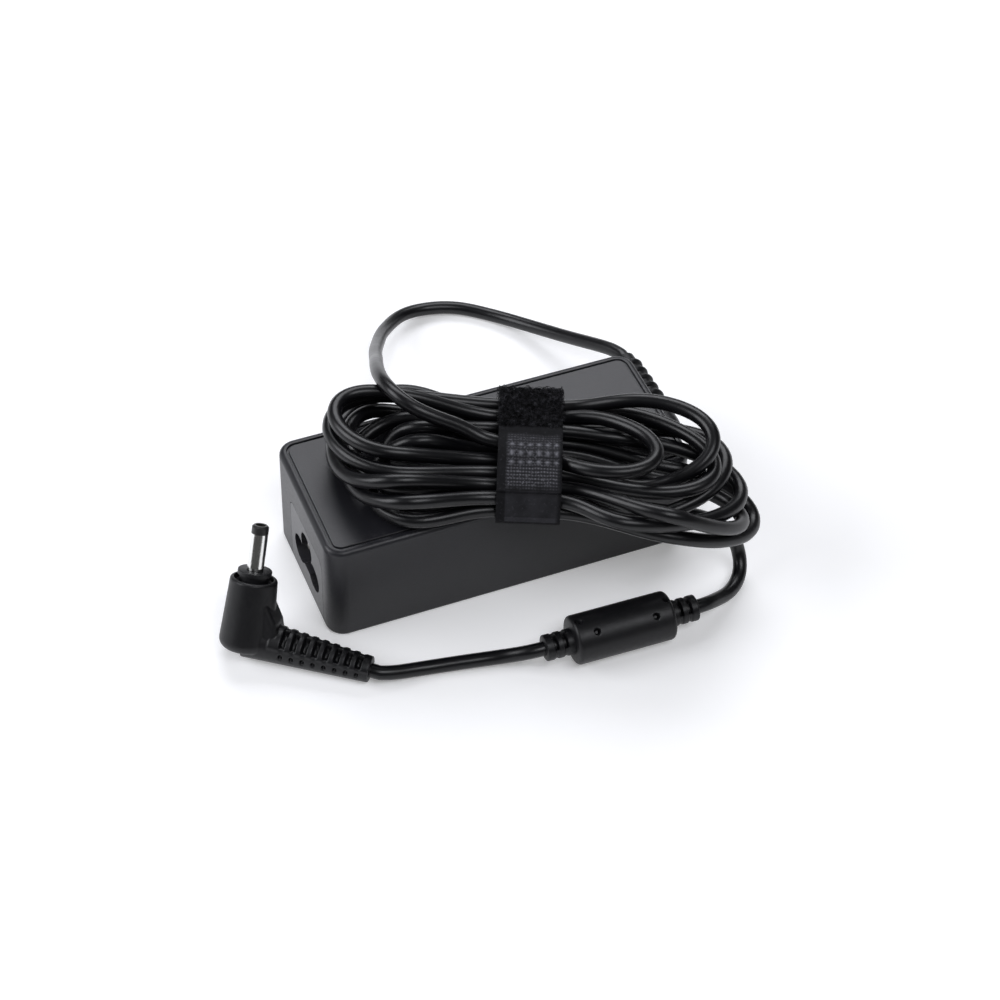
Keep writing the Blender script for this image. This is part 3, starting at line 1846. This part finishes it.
    def build_tab(self, webbing: bpy.types.Material) -> bpy.types.Object:
        """Make the loose end that peels off.

        Args:
            webbing: its material.

        Returns:
            The tab.
        """
        draft = Draft("strap_tab_woven")
        bm = draft.bm
        mark = self._sheet(bm, self.tab_from, self.tab_from + self.tab_l)
        inner = list(bm.verts)
        grown = bmesh.ops.extrude_face_region(bm, geom=bm.faces[:])["geom"]
        start, normal = self.at(self.tab_from + self.step_rows[0])
        way = Vector((-normal.y, normal.x))
        outer = {g for g in grown if isinstance(g, bmesh.types.BMVert)}
        for vert in [*inner, *outer]:
            low = self.tab_gap + (self.tab_t if vert in outer else 0.0)
            place = start + way * (vert[mark] - self.tab_from) + normal * low
            vert.co = self.space(vert.co.y, place)
        self._round_edges(bm)
        self._tag(bm)
        return draft.finish(webbing, "strap_fabric", ["strap_tab"], "strap_tab")

    def build_pile(self, thread: bpy.types.Material) -> bpy.types.Object:
        """Cover the band's upper back with loops of thread.

        Args:
            thread: their material.

        Returns:
            The loops.
        """
        pile, loop = self.pile, self.pile.mesh()
        first, last, side = pile.spill
        dice = random.Random(pile.seed)
        draft = Draft("strap_pile")
        for _ in range(pile.count):
            along = dice.uniform(self.pile_from - first, self.pile_to + last)
            across = dice.uniform(-self.width / 2 - side, self.width / 2 + side)
            size = dice.uniform(*pile.size) * (pile.big[1] if dice.random() < pile.big[0] else 1.0)
            place, normal = self.at(along)
            low = self.rise(along) - pile.sunk
            foot = self.space(across, place + normal * low)
            up = (self.space(across, place + normal * (low + 1.0)) - foot).normalized()
            lean = Vector([dice.uniform(-pile.lean, pile.lean) for _ in range(3)])
            turn = (up + lean).normalized().to_track_quat("Z", "Y").to_matrix().to_4x4()
            spin = Matrix.Rotation(dice.uniform(0.0, math.tau), 4, "Z")
            tall = size * dice.uniform(*pile.stretch)
            scale = Matrix.Diagonal((size * MM, size * MM, tall * MM, 1.0))
            copy = loop.copy()
            copy.transform(Matrix.Translation(foot) @ turn @ spin @ scale)
            draft.bm.from_mesh(copy)
            bpy.data.meshes.remove(copy)
        bpy.data.meshes.remove(loop)
        return draft.finish(thread, "strap_fabric")


# ---------------------------------------------------------------- studio


@dataclass
class Lamp:
    """A rectangular soft lamp, in metres and watts, aimed at the object's place."""

    name: str
    place: Point
    size: tuple[float, float]
    power: float
    colour: Colour = (0.95, 0.96, 1.0)

    def build(self) -> bpy.types.Object:
        """Hang the lamp.

        Returns:
            The lamp.
        """
        data = bpy.data.lights.new(self.name, "AREA")
        data.shape = "RECTANGLE"
        data.size, data.size_y = self.size
        data.energy = self.power
        data.color = self.colour
        lamp = bpy.data.objects.new(self.name, data)
        bpy.context.collection.objects.link(lamp)
        lamp.location = self.place
        lamp.rotation_euler = (-Vector(self.place)).to_track_quat("-Z", "Y").to_euler()
        return lamp


@dataclass
class Studio:
    """Pale floor, soft lamps, pale surroundings and the camera, in metres and radians.

    surround is the strength of the light from all round, and floor_glow what the floor adds where
    it is seen, straight or in a mirror, so that it stays white and keeps its shadows.
    """

    eye: Point = (-0.15708, -0.36744, 0.43716)
    yaw: float = 0.41456
    pitch: float = 0.81676
    roll: float = 0.04071
    lens: float = 85.47
    film: float = 36.0
    clip: tuple[float, float] = (0.02, 20.0)
    surround: float = 0.07
    floor_glow: float = 0.26
    floor_half: float = 3.0
    paper: tuple[Colour, Colour] = ((0.84, 0.845, 0.86), (0.86, 0.86, 0.865))
    lamps: tuple[Lamp, ...] = (
        Lamp("left_softbox", (-1.1, 0.3, 0.75), (0.8, 0.8), 11.5),
        Lamp("back_softbox", (0.35, 0.85, 1.05), (1.1, 0.7), 11.5),
        Lamp("front_softbox", (0.15, -0.75, 1.25), (0.9, 0.5), 8.0),
    )

    def build_camera(self) -> None:
        """Place the camera and make it the scene's."""
        data = bpy.data.cameras.new("view")
        data.sensor_width, data.lens = self.film, self.lens
        data.clip_start, data.clip_end = self.clip
        camera = bpy.data.objects.new("view", data)
        bpy.context.collection.objects.link(camera)
        level = math.cos(self.pitch)
        way = Vector((math.sin(self.yaw) * level, math.cos(self.yaw) * level, -math.sin(self.pitch)))
        side = way.cross(Vector((0.0, 0.0, 1.0))).normalized()
        top = side.cross(way)
        right = side * math.cos(self.roll) + top * math.sin(self.roll)
        up = top * math.cos(self.roll) - side * math.sin(self.roll)
        turn = Matrix((right, up, -way)).transposed().to_4x4()
        camera.matrix_world = Matrix.Translation(Vector(self.eye)) @ turn
        bpy.context.scene.camera = camera

    def build_floor(self) -> None:
        """Lay the floor, which stays white in view and keeps its shadows."""
        bm = bmesh.new()
        bmesh.ops.create_grid(bm, x_segments=2, y_segments=2, size=self.floor_half)
        mesh = bpy.data.meshes.new("floor")
        bm.to_mesh(mesh)
        bm.free()
        floor = bpy.data.objects.new("floor", mesh)
        bpy.context.collection.objects.link(floor)
        floor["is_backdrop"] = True
        shader = Shader("floor_paper")
        grain = shader.noise(shader.place(), 30.0)
        shader.surface(Base_Color=shader.mix(grain, *self.paper), Roughness=0.9)
        seen = shader.node("ShaderNodeLightPath", out="Is Camera Ray")
        share = seen + seen.beside("Is Glossy Ray") + seen.beside("Is Transmission Ray")
        glow = shader.node("ShaderNodeEmission", {}, {"Strength": share.clamped() * self.floor_glow})
        paper = Wire(shader, shader.principled.outputs[0])
        both = shader.node("ShaderNodeAddShader", {}, {0: paper, 1: glow})
        end = next(n for n in shader.tree.nodes if n.type == "OUTPUT_MATERIAL")
        shader.feed(end.inputs["Surface"], both)
        mesh.materials.append(shader.material)

    def build_surround(self) -> None:
        """Set the even light from all round."""
        world = bpy.data.worlds.new("surround")
        bpy.context.scene.world = world
        world.use_nodes = True
        back = world.node_tree.nodes["Background"]
        back.inputs["Color"].default_value = (1.0, 1.0, 1.0, 1.0)
        back.inputs["Strength"].default_value = self.surround

    def build(self) -> None:
        """Build everything but the camera."""
        self.build_floor()
        self.build_surround()
        for lamp in self.lamps:
            lamp.build()
        bpy.context.scene.view_settings.view_transform = "Standard"


# ---------------------------------------------------------------- the adapter


@dataclass
class Palette:
    """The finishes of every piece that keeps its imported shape, each with the pieces that wear it."""

    rows: tuple[tuple[Finish, str], ...] = (
        (MouldedPlastic("cover_grain", (0.015, 0.015, 0.018), 0.45, 1200.0, 0.00003, 0.4), "bottom_cover"),
        (MouldedPlastic("inlet_grain", (0.03, 0.03, 0.034), 0.36, 2400.0, 0.00001, 0.5), "inlet_insert"),
        (Metal("pin_plate", (0.72, 0.7, 0.66), 0.25), "line_pin neutral_pin earth_pin"),
        (SoftMoulding("relief_moulding", (0.006, 0.006, 0.007), 0.42), "cord_strain_relief"),
        (Metal("barrel_nickel", (0.86, 0.86, 0.84), 0.14, (1.0, 1.0, 6.0)), "plug_barrel"),
        (MouldedPlastic("tip_plastic", (0.014, 0.014, 0.014), 0.35), "plug_insulator"),
        (Metal("contact_gilt", (0.83, 0.68, 0.38), 0.25), "plug_contact"),
        (Laminate("board_green", (0.02, 0.12, 0.05)), "circuit_board"),
        (MouldedPlastic("sheet_amber", (0.6, 0.5, 0.3), 0.3, 500.0, 0.00001), "insulation_sheet"),
        (MouldedPlastic("fuse_case", (0.1, 0.03, 0.025), 0.35), "fuse"),
        (MouldedPlastic("thermistor_coat", (0.03, 0.09, 0.05), 0.35, 700.0, 0.00005), "thermistor"),
        (MouldedPlastic("film_case", (0.62, 0.45, 0.08), 0.35), "x_capacitor"),
        (MouldedPlastic("disc_coat", (0.06, 0.16, 0.42), 0.3, 700.0, 0.00005), "y_capacitor"),
        (
            MouldedPlastic("ferrite_grey", (0.07, 0.07, 0.075), 0.55, 900.0, 0.00004),
            "bead_core line_choke_core transformer_core",
        ),
        (WoundWire("choke_copper", (0.62, 0.28, 0.1), Axis.UP, 0.0008), "line_choke_winding"),
        (
            MouldedPlastic("package_epoxy", (0.018, 0.018, 0.019), 0.4, 3000.0),
            "bridge_rectifier switch_transistor control_chip output_rectifier",
        ),
        (
            MouldedPlastic("can_sleeve", (0.02, 0.025, 0.07), 0.3, 600.0, 0.00001),
            "bulk_capacitor output_capacitors",
        ),
        (
            Metal("sink_aluminium", (0.74, 0.75, 0.77), 0.35, (10.0, 1.0, 1.0)),
            "primary_heat_sink secondary_heat_sink",
        ),
        (MouldedPlastic("bobbin_cream", (0.72, 0.68, 0.55), 0.5), "transformer_bobbin"),
        (WoundWire("winding_tape", (0.72, 0.55, 0.1), Axis.ACROSS, 0.0012), "transformer_winding"),
        (MouldedPlastic("coupler_case", (0.75, 0.75, 0.72), 0.4), "optocoupler"),
        (MouldedPlastic("lead_sleeve", (0.35, 0.03, 0.03), 0.4), "inlet_leads output_leads"),
    )

    def dress(self, nodes: dict[str, bpy.types.Object]) -> None:
        """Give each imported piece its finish.

        Args:
            nodes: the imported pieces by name.
        """
        for finish, names in self.rows:
            material = finish.make()
            for name in names.split():
                for place in nodes[name].material_slots:
                    place.material = material
                log.info("%s: %s", name, finish.name)


def corners(pair: Iterable[Vector]) -> list[list[float]]:
    """Two corners as plain lists of numbers."""
    return [[float(c) for c in corner] for corner in pair]


def main() -> None:
    """Build the adapter's dress and its studio."""
    logging.basicConfig(level=logging.INFO, format="%(name)s %(message)s")
    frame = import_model()
    packed = corners(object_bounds())
    studio = Studio()
    studio.build_camera()
    housing, hank, bead, plug = Housing(), Hank(), Bead(), Plug()
    moulding = SoftMoulding("soft_moulding", (0.0035, 0.0035, 0.0045), 0.44, sheen=0.36).make()
    on_cord = [bead.build(moulding), plug.build_grip(moulding), plug.build_collar(moulding)]
    on_cord += ["bead_core", "cord_strain_relief", "plug_barrel", "plug_insulator", "plug_contact"]
    jacket = CordJacket("cord_jacket", (0.0035, 0.0035, 0.0045)).make()
    Cord(housing, hank, bead, plug).build(jacket, on_cord)
    housing.build(MouldedPlastic("housing_grain", (0.0125, 0.0125, 0.0155), 0.4, sheen=0.4).make())
    strap = Strap(hank)
    webbing = Webbing("strap_webbing", (0.008, 0.008, 0.009)).make()
    strap.build_band(webbing)
    strap.build_tab(webbing)
    strap.build_pile(Pile("strap_thread", (0.007, 0.007, 0.008)).make())
    Palette().dress(frame["nodes"])
    studio.build()
    {"cad": packed, "visual": corners(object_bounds())}


if __name__ == "__main__":
    main()
